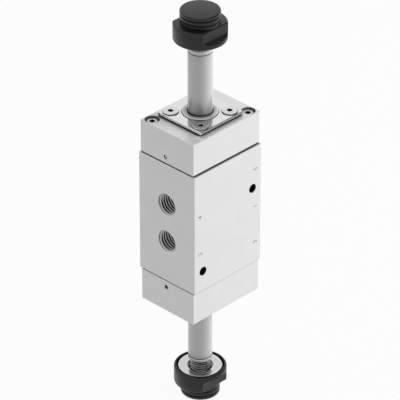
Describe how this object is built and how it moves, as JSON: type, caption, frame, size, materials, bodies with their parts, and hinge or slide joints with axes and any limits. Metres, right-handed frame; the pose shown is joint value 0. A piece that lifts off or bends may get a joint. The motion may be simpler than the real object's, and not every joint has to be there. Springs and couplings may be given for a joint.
{
  "type": "pneumatic spool valve",
  "caption": "Bistable spool valve with a bare solenoid tube at each end, each with a captive-washer coil nut and exhaust cap.",
  "frame": {"origin": "centre of the valve body, on the axis of the spool", "axes": "+Z along the spool's axis towards the top solenoid tube; +X out of the wide face with the port numbers and the mounting holes; -Y out of the face with ports 2 and 4"},
  "size_m": [0.043, 0.0536, 0.25],
  "materials": {
    "clear_anodised": "milled, then matt clear anodised",
    "plated_plate": "smooth light metallic, semi-glossy",
    "hard_anodised": "ground and hard anodised, smooth",
    "nitrile": "moulded black nitrile, matt",
    "acetal": "moulded natural acetal, matt",
    "zinc_plated": "bright zinc plated steel",
    "brass": "turned brass",
    "stainless_turned": "turned stainless steel, fine turning marks",
    "copper": null,
    "red_rubber": "moulded fluorocarbon rubber, matt",
    "spring_wire": "drawn stainless spring wire",
    "washer_steel": "stamped bright plated steel",
    "black_polyamide": "moulded glass filled polyamide, fine grain"
  },
  "bodies": {
    "housing": {"valve_body": "clear_anodised", "top_end_cap": "clear_anodised", "bottom_end_cap": "clear_anodised", "top_flange_plate": "plated_plate", "bottom_flange_plate": "plated_plate", "spool_seals": "nitrile", "top_cap_gasket": "nitrile", "bottom_cap_gasket": "nitrile", "top_tube_seal": "nitrile", "bottom_tube_seal": "nitrile", "top_flange_gasket": "nitrile", "bottom_flange_gasket": "nitrile", "port_cages": "acetal", "top_piston_sleeve": "acetal", "bottom_piston_sleeve": "acetal", "top_cap_screws": "zinc_plated", "bottom_cap_screws": "zinc_plated", "top_flange_screws": "zinc_plated", "bottom_flange_screws": "zinc_plated", "top_channel_ball": "zinc_plated", "bottom_channel_ball": "zinc_plated", "top_pilot_seat": "brass", "bottom_pilot_seat": "brass", "top_armature_tube": "stainless_turned", "bottom_armature_tube": "stainless_turned", "top_fixed_core": "stainless_turned", "bottom_fixed_core": "stainless_turned", "top_shading_ring": "copper", "bottom_shading_ring": "copper", "top_armature_spring": "spring_wire", "bottom_armature_spring": "spring_wire"},
    "spool": {"spool": "hard_anodised", "top_piston": "acetal", "bottom_piston": "acetal", "top_piston_seal": "nitrile", "bottom_piston_seal": "nitrile"},
    "top_armature": {"top_armature": "stainless_turned", "top_armature_discs": "red_rubber"},
    "bottom_armature": {"bottom_armature": "stainless_turned", "bottom_armature_discs": "red_rubber"},
    "top_washer": {"top_nut_washer": "washer_steel"},
    "top_nut": {"top_coil_nut": "black_polyamide", "top_nut_insert": "zinc_plated", "top_exhaust_cap": "black_polyamide"},
    "bottom_washer": {"bottom_nut_washer": "washer_steel"},
    "bottom_nut": {"bottom_coil_nut": "black_polyamide", "bottom_nut_insert": "zinc_plated", "bottom_exhaust_cap": "black_polyamide"}
  },
  "joints": [
    {"name": "spool_shift", "type": "slide", "parent": "housing", "child": "spool", "axis": [0, 0, 1], "range_m": [0, 0.004]},
    {"name": "top_armature_lift", "type": "slide", "parent": "housing", "child": "top_armature", "axis": [0, 0, 1], "range_m": [0, 0.0013], "stiffness_N_per_m": 300, "springref_m": -0.008, "deforming": ["top_armature_spring"]},
    {"name": "top_nut_travel", "type": "slide", "parent": "housing", "child": "top_washer", "axis": [0, 0, 1], "range_m": [-0.0015, 0.003]},
    {"name": "top_nut_turn", "type": "hinge", "parent": "top_washer", "child": "top_nut", "pos_m": [0, 0, 0.1071], "axis": [0, 0, 1], "range_deg": [-360, 720]},
    {"name": "bottom_armature_lift", "type": "slide", "parent": "housing", "child": "bottom_armature", "axis": [0, 0, -1], "range_m": [0, 0.0013], "stiffness_N_per_m": 300, "springref_m": -0.008, "deforming": ["bottom_armature_spring"]},
    {"name": "bottom_nut_travel", "type": "slide", "parent": "housing", "child": "bottom_washer", "axis": [0, 0, -1], "range_m": [-0.0015, 0.003]},
    {"name": "bottom_nut_turn", "type": "hinge", "parent": "bottom_washer", "child": "bottom_nut", "pos_m": [0, 0, -0.1071], "axis": [0, 0, -1], "range_deg": [-360, 720]}
  ],
  "couplings": [
    {"joint": "top_nut_travel", "follows": "top_nut_turn", "m_per_rad": 0.00023873},
    {"joint": "bottom_nut_travel", "follows": "bottom_nut_turn", "m_per_rad": 0.00023873}
  ]
}
